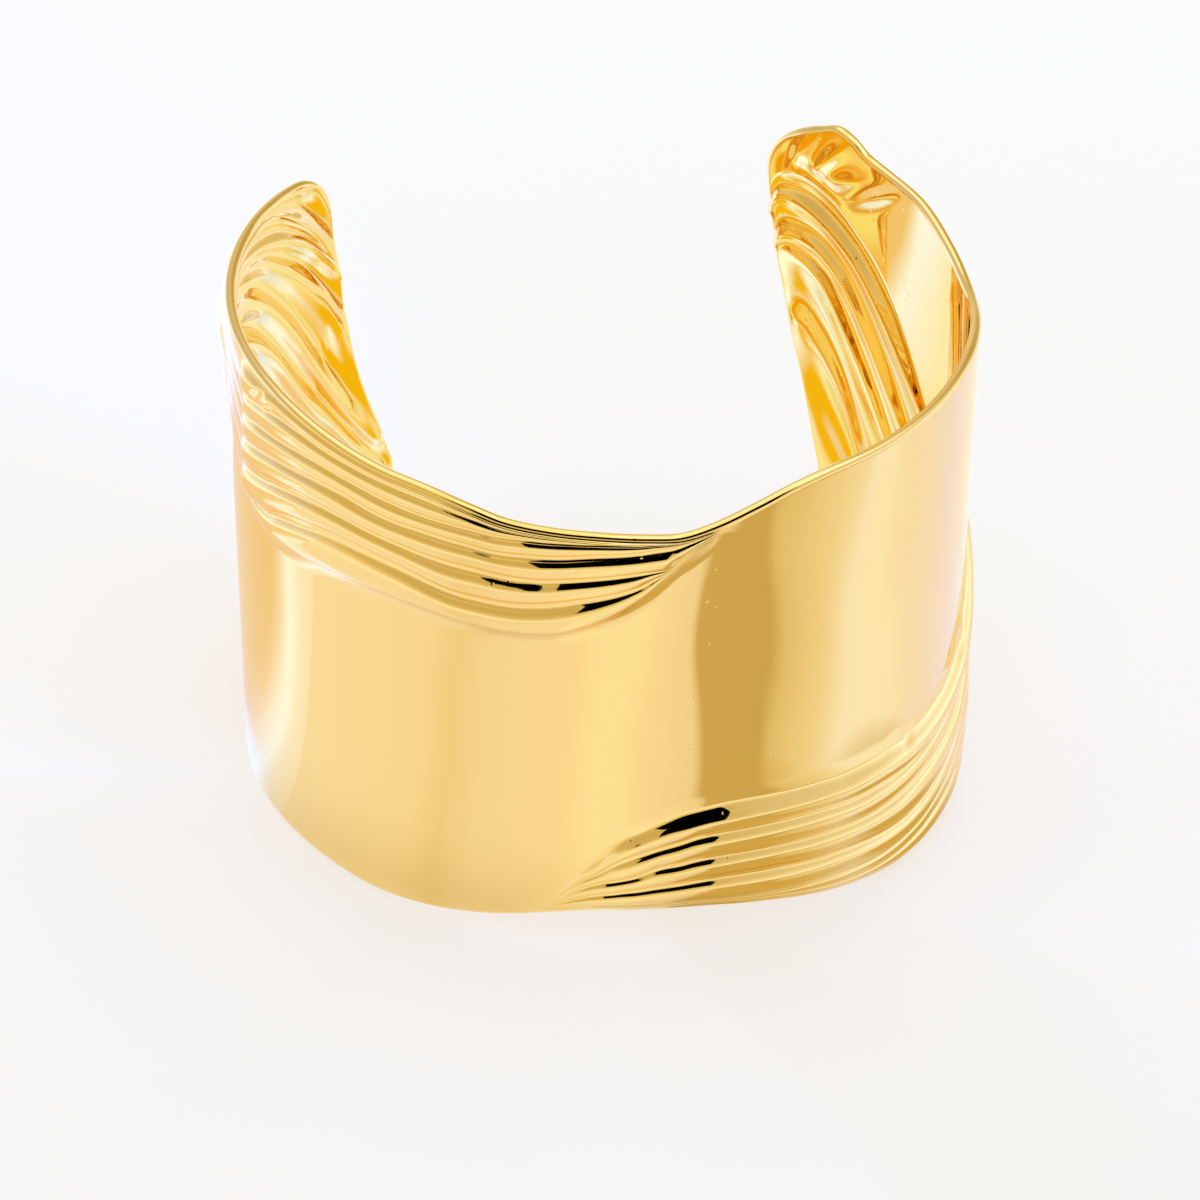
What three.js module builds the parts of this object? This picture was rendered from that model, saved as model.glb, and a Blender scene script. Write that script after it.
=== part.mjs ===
// A gold cuff bracelet: one springy metal sheet, curled into an open oval that stands on its
// lower rim, with two fans of stamped pleats that sweep from the front round to the arm ends.
// Millimetres, +Z up, the front of the cuff towards -Y and the wrist gap towards +Y.

import * as THREE from 'three';
import { mergeVertices } from 'three/addons/utils/BufferGeometryUtils.js';

// ---- driving dimensions -----------------------------------------------------------------

const OVAL_WIDTH = 65;        // outside of the plain wall, side to side
const OVAL_DEPTH = 59.5;      // outside of the plain wall, front to back, were the oval closed
const WALL_HEIGHT = 49;       // height of the plain wall, which the lean and slant go by
const SHEET_THICKNESS = 1;
const LEFT_END = -75.6;       // the arm ends, along the sheet from the middle of the front
const RIGHT_END = 76.8;
const END_SLANT = 4.2;        // how far each arm end leans along the sheet, top against bottom
const LEFT_END_HOLLOW = { depth: 0.9, height: 25, reach: 14, fadeFrom: 66 };
const END_FLARE = { outward: 0.35, reach: 2.4 };
const CORNER_RADIUS = 5;      // rounded corners of the two arm ends
const WALL_LEAN = -0.037;     // sideways lean of the wall, mm per mm of height
const PLEAT_RISE = 0.9;       // height of a full pleat above the creases beside it
const FULL_PLEAT_WIDTH = 3.2; // a narrower pleat stands lower, in proportion
const FULL_FAN_WIDTH = 8;     // a narrower fan swells less, in proportion

const ROWS_PER_PLEAT = 2;
const ROWS_ON_PLAIN_WALL = 3;
const COLUMNS = 84;           // facets along the sheet

const GOLD = { color: 0xf2c35a, roughness: 0.12, metalness: 1 };

// Where the columns lie: a share of their count, and how far along the sheet that is.
const COLUMN_SPREAD = [
  { share: 0, along: LEFT_END },
  { share: 0.12, along: -68 },
  { share: 0.38, along: -11 },
  { share: 0.60, along: 9 },
  { share: 0.88, along: 68 },
  { share: 1, along: RIGHT_END },
];

// Heights of the two rims.
const RIMS = [
  { along: -76.8, lower: 0, upper: 48.7 },
  { along: -72.5, lower: 0, upper: 48.6 },
  { along: -68, lower: 0, upper: 49 },
  { along: -62, lower: 0.1, upper: 49.25 },
  { along: -54, lower: 0.3, upper: 49.15 },
  { along: -47, lower: 0, upper: 49 },
  { along: -39, lower: 0, upper: 48.8 },
  { along: -34, lower: 0.4, upper: 48.5 },
  { along: -28, lower: 0.5, upper: 47.9 },
  { along: -22, lower: 0.55, upper: 47.25 },
  { along: -17, lower: 1.1, upper: 46.95 },
  { along: -13, lower: 1.8, upper: 46.2 },
  { along: -10, lower: 2.45, upper: 45.5 },
  { along: -6, lower: 3.45, upper: 45.15 },
  { along: -2, lower: 4.35, upper: 45 },
  { along: 2, lower: 4.55, upper: 44.8 },
  { along: 5, lower: 4.5, upper: 44.75 },
  { along: 8, lower: 4.3, upper: 45.55 },
  { along: 11.5, lower: 3.75, upper: 46.85 },
  { along: 14.5, lower: 3.2, upper: 47.85 },
  { along: 18, lower: 2.4, upper: 48.45 },
  { along: 24, lower: 1.1, upper: 48.6 },
  { along: 31, lower: 0.1, upper: 48.85 },
  { along: 39, lower: 0, upper: 49.05 },
  { along: 44, lower: 0.5, upper: 48.6 },
  { along: 50, lower: 1.1, upper: 47.9 },
  { along: 55, lower: 0.9, upper: 48.7 },
  { along: 60, lower: 0.4, upper: 50.05 },
  { along: 64.5, lower: 0.25, upper: 50.5 },
  { along: 67, lower: 0.2, upper: 51 },
  { along: 68.5, lower: 0.2, upper: 51.9 },
  { along: 70, lower: 0.2, upper: 52.35 },
  { along: 71.5, lower: 0.2, upper: 51.7 },
  { along: 73, lower: 0.2, upper: 51.1 },
  { along: 76.8, lower: 0.2, upper: 50 },
];

// The two fans of pleats. Each row is a section across the band: where it lies along the sheet,
// how far the creases between the pleats are from the fan's own rim, from the crease next to
// the rim (a) to the outermost one (edge), and how much of their full height the pleats have.
const LOWER_FAN = [
  { along: -76.8, a: 0.4, b: 0.8, c: 1.2, d: 1.6, e: 2, edge: 2.5, rise: 0 },
  { along: -60, a: 0.9, b: 1.8, c: 2.7, d: 3.6, e: 4.5, edge: 5.6, rise: 0 },
  { along: -40, a: 1.3, b: 2.5, c: 3.7, d: 4.9, e: 6.1, edge: 7.5, rise: 0 },
  { along: -22, a: 0.9, b: 1.7, c: 2.5, d: 3.3, e: 4.1, edge: 5, rise: 0 },
  { along: -10, a: 0.2, b: 0.4, c: 0.6, d: 0.8, e: 1, edge: 1.25, rise: 0 },
  { along: -8, a: 0.1, b: 0.2, c: 0.3, d: 0.4, e: 0.5, edge: 0.6, rise: 0.2 },
  { along: -6.6, a: 0.15, b: 0.3, c: 0.45, d: 0.6, e: 0.75, edge: 0.9, rise: 1 },
  { along: -5, a: 0.45, b: 1, c: 2, d: 3.15, e: 3.4, edge: 3.65, rise: 1 },
  { along: -3, a: 0.55, b: 1.2, c: 2.1, d: 3.5, e: 5.1, edge: 6.4, rise: 1 },
  { along: -0.5, a: 0.75, b: 1.45, c: 2.55, d: 3.65, e: 5.45, edge: 8.75, rise: 1 },
  { along: 3, a: 0.85, b: 1.65, c: 3.1, d: 4.45, e: 7.05, edge: 10.45, rise: 1 },
  { along: 7, a: 0.85, b: 1.75, c: 3.35, d: 5.75, e: 8.15, edge: 11.75, rise: 1 },
  { along: 12, a: 0.85, b: 1.75, c: 4.1, d: 7.15, e: 9.25, edge: 12.75, rise: 1 },
  { along: 17, a: 0.85, b: 1.65, c: 4.95, d: 7.75, e: 9.85, edge: 13.55, rise: 1 },
  { along: 22, a: 1.05, b: 2.05, c: 5.65, d: 8.6, e: 10.55, edge: 13.85, rise: 1 },
  { along: 26, a: 1.2, b: 2.3, c: 6.3, d: 9.4, e: 11.2, edge: 14.6, rise: 1 },
  { along: 30, a: 1.25, b: 2.45, c: 7.1, d: 10.05, e: 12.25, edge: 15.95, rise: 1 },
  { along: 34, a: 1.5, b: 3.2, c: 8.1, d: 10.5, e: 13.5, edge: 17.4, rise: 1 },
  { along: 39, a: 2.1, b: 4.6, c: 9.2, d: 11.9, e: 15.2, edge: 18.6, rise: 1 },
  { along: 44, a: 2.4, b: 5.5, c: 9.9, d: 12.9, e: 16.3, edge: 19.9, rise: 1 },
  { along: 50, a: 2.5, b: 5.9, c: 10.4, d: 13.9, e: 18.4, edge: 22.4, rise: 1 },
  { along: 55, a: 2.7, b: 6.4, c: 11.1, d: 15.4, e: 22.6, edge: 26.3, rise: 1 },
  { along: 58, a: 2.9, b: 6.8, c: 12, d: 17, e: 26.2, edge: 29.4, rise: 1 },
  { along: 62, a: 3.7, b: 8, c: 14.2, d: 21.2, e: 30.5, edge: 35.9, rise: 1 },
  { along: 65, a: 4.4, b: 9.6, c: 17.8, d: 25.8, e: 34.7, edge: 40.2, rise: 1 },
  { along: 68, a: 5.4, b: 12, c: 24.8, d: 32.2, e: 38.8, edge: 43.1, rise: 1 },
  { along: 70, a: 7.1, b: 15, c: 29.6, d: 36.1, e: 40.5, edge: 44.8, rise: 1 },
  { along: 72, a: 10.8, b: 22.6, c: 34.6, d: 38.1, e: 42, edge: 45.8, rise: 0.9 },
  { along: 74, a: 14.8, b: 27.3, c: 37.1, d: 39.2, e: 43.3, edge: 46.7, rise: 0.8 },
  { along: 75.6, a: 16.8, b: 28.8, c: 38.4, d: 39.9, e: 44.4, edge: 47.4, rise: 0.35 },
  { along: 76.8, a: 17.8, b: 29.6, c: 39.2, d: 40.6, e: 45, edge: 47.8, rise: 0 },
];
const UPPER_FAN = [
  { along: -76.8, a: 8, b: 9.8, c: 17.2, d: 34, e: 39.2, edge: 42, rise: 0 },
  { along: -75.6, a: 7.7, b: 9.3, c: 16.7, d: 33.2, e: 38.7, edge: 41.7, rise: 0 },
  { along: -74.4, a: 7.5, b: 9, c: 16.4, d: 32.7, e: 37.7, edge: 41.2, rise: 0.35 },
  { along: -72.5, a: 5.4, b: 7.3, c: 13, d: 28.1, e: 33.3, edge: 38.1, rise: 0.9 },
  { along: -70, a: 3.5, b: 5.8, c: 10, d: 21.2, e: 28, edge: 33.8, rise: 1 },
  { along: -68, a: 2.4, b: 4.9, c: 8.2, d: 16.3, e: 25, edge: 30.5, rise: 1 },
  { along: -64, a: 1.45, b: 3.55, c: 5.35, d: 10.65, e: 16.75, edge: 23.2, rise: 1 },
  { along: -60, a: 0.85, b: 2.65, c: 3.85, d: 7.85, e: 12.35, edge: 17.8, rise: 1 },
  { along: -56, a: 0.8, b: 1.9, c: 2.8, d: 6.9, e: 10, edge: 13.7, rise: 1 },
  { along: -50, a: 1.15, b: 2.55, c: 4.25, d: 7.25, e: 10.05, edge: 12.3, rise: 1 },
  { along: -44, a: 1.7, b: 3.5, c: 5.9, d: 8.4, e: 11, edge: 12.7, rise: 1 },
  { along: -40, a: 1.9, b: 4.1, c: 6.8, d: 9.2, e: 11.6, edge: 13.4, rise: 1 },
  { along: -36, a: 1.85, b: 3.75, c: 6.75, d: 8.65, e: 10.55, edge: 13.75, rise: 1 },
  { along: -33, a: 1.5, b: 3.1, c: 6, d: 7.7, e: 9.3, edge: 14.4, rise: 1 },
  { along: -28, a: 1, b: 2.3, c: 4.7, d: 6.2, e: 7.7, edge: 13.9, rise: 1 },
  { along: -23, a: 0.8, b: 1.9, c: 3.6, d: 5.4, e: 7.3, edge: 12.5, rise: 1 },
  { along: -18, a: 0.8, b: 1.8, c: 3.5, d: 5.5, e: 8.1, edge: 11.95, rise: 1 },
  { along: -14, a: 0.7, b: 1.6, c: 2.95, d: 4.9, e: 8.4, edge: 11.55, rise: 1 },
  { along: -10, a: 0.55, b: 1.15, c: 2.2, d: 4.25, e: 7.7, edge: 10.7, rise: 1 },
  { along: -7, a: 0.4, b: 0.8, c: 1.7, d: 3.9, e: 7.1, edge: 10.4, rise: 1 },
  { along: -3, a: 0.25, b: 0.55, c: 1.15, d: 3.4, e: 6.15, edge: 9.05, rise: 1 },
  { along: 0, a: 0.15, b: 0.4, c: 0.95, d: 2.8, e: 5.35, edge: 7.1, rise: 1 },
  { along: 1.5, a: 0.15, b: 0.4, c: 0.95, d: 2.55, e: 5, edge: 5.45, rise: 1 },
  { along: 3.9, a: 0.15, b: 0.45, c: 1.05, d: 1.95, e: 2.1, edge: 2.25, rise: 1 },
  { along: 5.2, a: 0.15, b: 0.35, c: 0.6, d: 0.85, e: 1, edge: 1.15, rise: 1 },
  { along: 7, a: 0.1, b: 0.2, c: 0.3, d: 0.4, e: 0.5, edge: 0.6, rise: 1 },
  { along: 8.2, a: 0.1, b: 0.2, c: 0.3, d: 0.4, e: 0.5, edge: 0.6, rise: 0.2 },
  { along: 11.5, a: 0.3, b: 0.6, c: 0.9, d: 1.2, e: 1.5, edge: 1.9, rise: 0 },
  { along: 22, a: 0.9, b: 1.7, c: 2.5, d: 3.3, e: 4.1, edge: 5, rise: 0 },
  { along: 40, a: 1.2, b: 2.4, c: 3.6, d: 4.8, e: 6, edge: 7.4, rise: 0 },
  { along: 60, a: 0.45, b: 0.9, c: 1.35, d: 1.8, e: 2.25, edge: 2.8, rise: 0 },
  { along: 76.8, a: 0.3, b: 0.6, c: 0.9, d: 1.2, e: 1.5, edge: 1.8, rise: 0 },
];

// How far each fan swells from the oval where it is full, at its rim and at each crease.
const LOWER_SWELL = { rim: 0.5, a: 0.5, b: 0.5, c: 0.4, d: 0.25, e: 0.1, edge: 0 };
const UPPER_SWELL = { rim: 0, a: 0.1, b: 0.2, c: 0.3, d: 0.3, e: 0.15, edge: 0 };
const CREASES = ['a', 'b', 'c', 'd', 'e', 'edge'];

// ---- the sheet, flat ----------------------------------------------------------------------

// Smooth curve through one column of a table, as a cubic Hermite with averaged slopes.
function readTable(table, column, along) {
  const last = table.length - 1;
  let i = 0;
  while (i < last - 1 && table[i + 1].along < along) i += 1;
  const slopeAt = (k) => {
    const before = table[Math.max(k - 1, 0)];
    const after = table[Math.min(k + 1, last)];
    return (after[column] - before[column]) / (after.along - before.along);
  };
  const span = table[i + 1].along - table[i].along;
  const t = THREE.MathUtils.clamp((along - table[i].along) / span, 0, 1);
  const rise = table[i + 1][column] - table[i][column];
  const start = slopeAt(i) * span;
  const end = slopeAt(i + 1) * span;
  return table[i][column] + start * t + (3 * rise - 2 * start - end) * t * t
    + (start + end - 2 * rise) * t * t * t;
}

function columnPlace(share) {
  const next = COLUMN_SPREAD.findIndex((step) => step.share >= share - 1e-9 && step.share > 0);
  const before = COLUMN_SPREAD[next - 1];
  const after = COLUMN_SPREAD[next];
  const t = (share - before.share) / (after.share - before.share);
  return THREE.MathUtils.lerp(before.along, after.along, t);
}

function toArmEnd(along) {
  return along < 0 ? along - LEFT_END : RIGHT_END - along;
}

// The rims' heights in the tables, and how far the rounded corners take them in.
function rims(along) {
  const inset = THREE.MathUtils.clamp(CORNER_RADIUS - toArmEnd(along), 0, CORNER_RADIUS);
  return {
    lower: Math.max(0, readTable(RIMS, 'lower', along)),
    upper: readTable(RIMS, 'upper', along),
    corner: CORNER_RADIUS - Math.sqrt(CORNER_RADIUS ** 2 - inset ** 2),
  };
}

// One row of a fan, counted from its rim: its distance from the rim, and how far it stands
// proud of the oval. A pleat is a shallow arch over the straight line between its two creases.
function fanRow(fan, swelling, along, row) {
  const pleat = Math.min(Math.floor(row / ROWS_PER_PLEAT), CREASES.length - 1);
  const t = row / ROWS_PER_PLEAT - pleat;
  const near = pleat === 0 ? 'rim' : CREASES[pleat - 1];
  const far = CREASES[pleat];
  const distance = (name, at) => (name === 'rim' ? 0 : readTable(fan, name, at));
  const width = distance(far, along) - distance(near, along);
  const steepness = distance(far, along + 0.5) - distance(far, along - 0.5);
  const fullness = Math.min(1, width / Math.hypot(1, steepness) / FULL_PLEAT_WIDTH);
  const swell = Math.min(1, distance('edge', along) / FULL_FAN_WIDTH)
    * THREE.MathUtils.lerp(swelling[near], swelling[far], t);
  return {
    distance: distance(near, along) + width * t,
    proud: readTable(fan, 'rise', along) * (swell + PLEAT_RISE * fullness * 4 * t * (1 - t)),
  };
}

// One row of the band, counted from the lower rim: its height and how far it stands proud.
function bandRow(along, row) {
  const { lower, upper, corner } = rims(along);
  const rowsInFan = CREASES.length * ROWS_PER_PLEAT;
  const lowerFan = fanRow(LOWER_FAN, LOWER_SWELL, along, Math.min(row, rowsInFan));
  const lastRow = 2 * rowsInFan + ROWS_ON_PLAIN_WALL;
  const upperFan = fanRow(UPPER_FAN, UPPER_SWELL, along, Math.min(lastRow - row, rowsInFan));
  const onWall = THREE.MathUtils.clamp((row - rowsInFan) / ROWS_ON_PLAIN_WALL, 0, 1);
  const height = THREE.MathUtils.lerp(
    lower + lowerFan.distance,
    upper - upperFan.distance,
    onWall,
  );
  const share = (height - lower) / (upper - lower);
  return {
    height: THREE.MathUtils.lerp(lower + corner, upper - corner, share),
    proud: Math.max(0, onWall === 0 ? lowerFan.proud : onWall === 1 ? upperFan.proud : 0),
  };
}

// ---- the sheet, curled ----------------------------------------------------------------------

// The oval seen from above, from the middle of the back, round the left side, the front and
// the right side, and back again.
class CuffOval extends THREE.Curve {
  getPoint(t, target = new THREE.Vector3()) {
    const angle = (2 * t - 1) * Math.PI;
    return target.set(Math.sin(angle) * OVAL_WIDTH / 2, -Math.cos(angle) * OVAL_DEPTH / 2, 0);
  }
}
const oval = new CuffOval();
oval.arcLengthDivisions = 2000;
const ovalLength = oval.getLength();

// How far a point moves along the sheet because of the shape of the arm ends.
function endShift(along, height) {
  const slant = END_SLANT * Math.cos(Math.PI * height / WALL_HEIGHT) * (along / RIGHT_END) ** 2;
  const { depth, height: middle, reach, fadeFrom } = LEFT_END_HOLLOW;
  const across = Math.max(0, 1 - ((height - middle) / reach) ** 2) ** 2;
  const towardsEnd = THREE.MathUtils.clamp((-along - fadeFrom) / (-LEFT_END - fadeFrom), 0, 1);
  return depth * across * towardsEnd - slant;
}

// A point of the sheet: where it is along the blank, its height, and how far it stands out
// from the oval.
function curl(along, height, outward) {
  const t = 0.5 + (along + endShift(along, height)) / ovalLength;
  const point = oval.getPointAt(t);
  const tangent = oval.getTangentAt(t);
  const flare = END_FLARE.outward * Math.max(0, 1 - toArmEnd(along) / END_FLARE.reach) ** 2;
  return new THREE.Vector3(
    point.x + tangent.y * (outward + flare) + WALL_LEAN * (height - WALL_HEIGHT / 2),
    point.y - tangent.x * (outward + flare),
    height,
  );
}

function cuffBand() {
  const rows = 2 * CREASES.length * ROWS_PER_PLEAT + ROWS_ON_PLAIN_WALL;
  // A flat blank, one unit thick along Y, whose columns and rows are then moved into place.
  const blank = new THREE.BoxGeometry(2, 1, rows, COLUMNS, 1, rows);
  const corner = blank.getAttribute('position');
  for (let i = 0; i < corner.count; i += 1) {
    const along = columnPlace((corner.getX(i) + 1) / 2);
    const { height, proud } = bandRow(along, Math.round(corner.getZ(i) + rows / 2));
    const depth = corner.getY(i) > 0 ? SHEET_THICKNESS : 0;
    corner.setXYZ(i, ...curl(along, height, proud - depth));
  }
  blank.deleteAttribute('normal');
  blank.deleteAttribute('uv');
  const band = mergeVertices(blank);

  // Stand it over the origin: the middle of its box in plan, the lower rim at zero.
  band.computeBoundingBox();
  const { min, max } = band.boundingBox;
  band.translate(-(min.x + max.x) / 2, -(min.y + max.y) / 2, -min.z);
  band.computeVertexNormals();
  return band;
}

const cuff = new THREE.Group();
const band = new THREE.Mesh(cuffBand(), new THREE.MeshStandardMaterial(GOLD));
band.name = 'cuff_band';
cuff.add(band);

export default cuff;
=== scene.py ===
"""A gold cuff bracelet with two fans of stamped pleats, on a pale studio floor."""

import math

import bmesh
import bpy
import numpy as np
from mathutils import Matrix, Vector


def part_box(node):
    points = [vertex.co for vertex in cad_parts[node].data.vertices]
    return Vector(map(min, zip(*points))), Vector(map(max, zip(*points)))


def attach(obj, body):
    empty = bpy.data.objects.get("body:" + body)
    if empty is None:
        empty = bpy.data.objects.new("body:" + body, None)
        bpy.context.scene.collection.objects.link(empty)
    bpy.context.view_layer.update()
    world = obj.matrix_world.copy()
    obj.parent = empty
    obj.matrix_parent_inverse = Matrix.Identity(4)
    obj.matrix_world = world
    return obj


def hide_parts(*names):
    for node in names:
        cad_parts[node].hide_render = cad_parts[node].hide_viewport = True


bl_info = {
    "name": "Pleated Gold Cuff",
    "version": (1, 0, 0),
    "blender": (4, 5, 0),
    "location": "View3D > Sidebar > Pleated Cuff",
    "description": "Builds a pleated gold cuff bracelet and the studio that it stands in",
    "category": "Add Mesh",
}

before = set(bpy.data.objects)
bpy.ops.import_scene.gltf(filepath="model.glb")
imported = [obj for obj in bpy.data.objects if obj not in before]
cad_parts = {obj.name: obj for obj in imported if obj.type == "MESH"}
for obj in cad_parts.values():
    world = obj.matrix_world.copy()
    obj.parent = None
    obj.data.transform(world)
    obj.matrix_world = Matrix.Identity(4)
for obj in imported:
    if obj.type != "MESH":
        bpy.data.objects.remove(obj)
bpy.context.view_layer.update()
BAND_LOW, BAND_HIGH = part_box("cuff_band")
MM = 0.001

# ---- tables of the sheet, flat ------------------------------------------------------------------

# Heights of the two rims, in mm, at places along the sheet, in mm from the middle of the front.
RIM_COLUMNS = ("along", "lower", "upper")
RIMS = (
    (-76.8, 0, 48.7),
    (-72.5, 0, 48.6),
    (-68, 0, 49),
    (-62, 0.1, 49.25),
    (-54, 0.3, 49.15),
    (-47, 0, 49),
    (-39, 0, 48.8),
    (-34, 0.4, 48.5),
    (-28, 0.5, 47.9),
    (-22, 0.55, 47.25),
    (-17, 1.1, 46.95),
    (-13, 1.8, 46.2),
    (-10, 2.45, 45.5),
    (-6, 3.45, 45.15),
    (-2, 4.35, 45),
    (2, 4.55, 44.8),
    (5, 4.5, 44.75),
    (8, 4.3, 45.55),
    (11.5, 3.75, 46.85),
    (14.5, 3.2, 47.85),
    (18, 2.4, 48.45),
    (24, 1.1, 48.6),
    (31, 0.1, 48.85),
    (39, 0, 49.05),
    (44, 0.5, 48.6),
    (50, 1.1, 47.9),
    (55, 0.9, 48.7),
    (60, 0.4, 50.05),
    (64.5, 0.25, 50.5),
    (67, 0.2, 51),
    (68.5, 0.2, 51.9),
    (70, 0.2, 52.35),
    (71.5, 0.2, 51.7),
    (73, 0.2, 51.1),
    (76.8, 0.2, 50),
)

# The two fans of pleats. Each row is a section across the band: its place along the sheet, how
# far the creases are from the fan's own rim, from the one next to the rim (a) to the outermost
# one (edge), all in mm, and the share of their full height that the pleats have there.
FAN_COLUMNS = ("along", "a", "b", "c", "d", "e", "edge", "rise")
LOWER_FAN = (
    (-76.8, 0.4, 0.8, 1.2, 1.6, 2, 2.5, 0),
    (-60, 0.9, 1.8, 2.7, 3.6, 4.5, 5.6, 0),
    (-40, 1.3, 2.5, 3.7, 4.9, 6.1, 7.5, 0),
    (-22, 0.9, 1.7, 2.5, 3.3, 4.1, 5, 0),
    (-10, 0.2, 0.4, 0.6, 0.8, 1, 1.25, 0),
    (-8, 0.05, 0.1, 0.15, 0.2, 0.25, 0.3, 0.2),
    (-6.2, 0.05, 0.1, 0.2, 0.3, 0.4, 0.6, 0.7),
    (-5, 0.1, 0.2, 0.75, 1.05, 1.5, 2.1, 1),
    (-3.3, 0.1, 0.2, 1.25, 2.2, 2.95, 4.1, 1),
    (-1.6, 0.15, 0.25, 1.5, 2.75, 3.85, 5.8, 1),
    (-0.5, 0.15, 0.3, 1.65, 2.95, 4.7, 7.1, 1),
    (0.5, 0.15, 0.3, 1.85, 3.15, 5.3, 7.85, 1),
    (1.8, 0.15, 0.3, 2, 3.55, 5.9, 8.5, 1),
    (3.5, 0.2, 0.35, 2.3, 4.4, 6.5, 9.5, 1),
    (5.3, 0.2, 0.4, 2.55, 4.75, 7.1, 10.4, 1),
    (7, 0.2, 0.4, 2.85, 5.2, 7.7, 10.8, 1),
    (10.7, 0.25, 0.5, 3.4, 5.75, 8.35, 11.65, 1),
    (14.6, 0.3, 0.65, 3.8, 6.2, 8.9, 12.1, 1),
    (18.7, 0.35, 1.3, 4.1, 6.7, 9.45, 12.7, 1),
    (21, 0.4, 1.65, 4.35, 6.95, 9.6, 13, 1),
    (23.5, 0.6, 1.8, 4.55, 7.2, 9.85, 13.5, 1),
    (26, 0.8, 1.95, 4.65, 7.55, 10.2, 13.9, 1),
    (29, 1.2, 2.3, 4.8, 8.15, 10.5, 14.3, 1),
    (32, 1.6, 2.75, 5.1, 8.8, 10.9, 14.7, 1),
    (35, 1.95, 3.3, 5.65, 9.3, 11.3, 15.1, 1),
    (38, 2.2, 4, 6.4, 9.9, 11.9, 15.6, 1),
    (41, 2.35, 4.6, 7.3, 10.6, 12.8, 16.5, 1),
    (44, 2.45, 5.2, 8.5, 11.6, 14.2, 18, 1),
    (50, 2.5, 5.9, 10.4, 13.9, 18.4, 22.4, 0.88),
    (55, 2.7, 6.4, 11.1, 15.4, 22.6, 26.3, 0.88),
    (58, 2.9, 6.8, 12, 17, 26.2, 29.4, 0.88),
    (62, 3.7, 8, 14.2, 21.2, 30.5, 35.9, 0.88),
    (65, 4.4, 9.6, 17.8, 25.8, 34.7, 40.2, 0.88),
    (68, 5.4, 12, 24.8, 32.2, 38.8, 43.1, 0.88),
    (70, 7.1, 15, 29.6, 36.1, 40.5, 44.8, 0.88),
    (72, 10.8, 22.6, 34.6, 38.1, 42, 45.8, 0.85),
    (74, 14.8, 27.3, 37.1, 39.2, 43.3, 46.7, 0.62),
    (75.6, 16.8, 28.8, 38.4, 39.9, 44.4, 47.4, 0.27),
    (76.8, 17.8, 29.6, 39.2, 40.6, 45, 47.8, 0),
)
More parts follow.
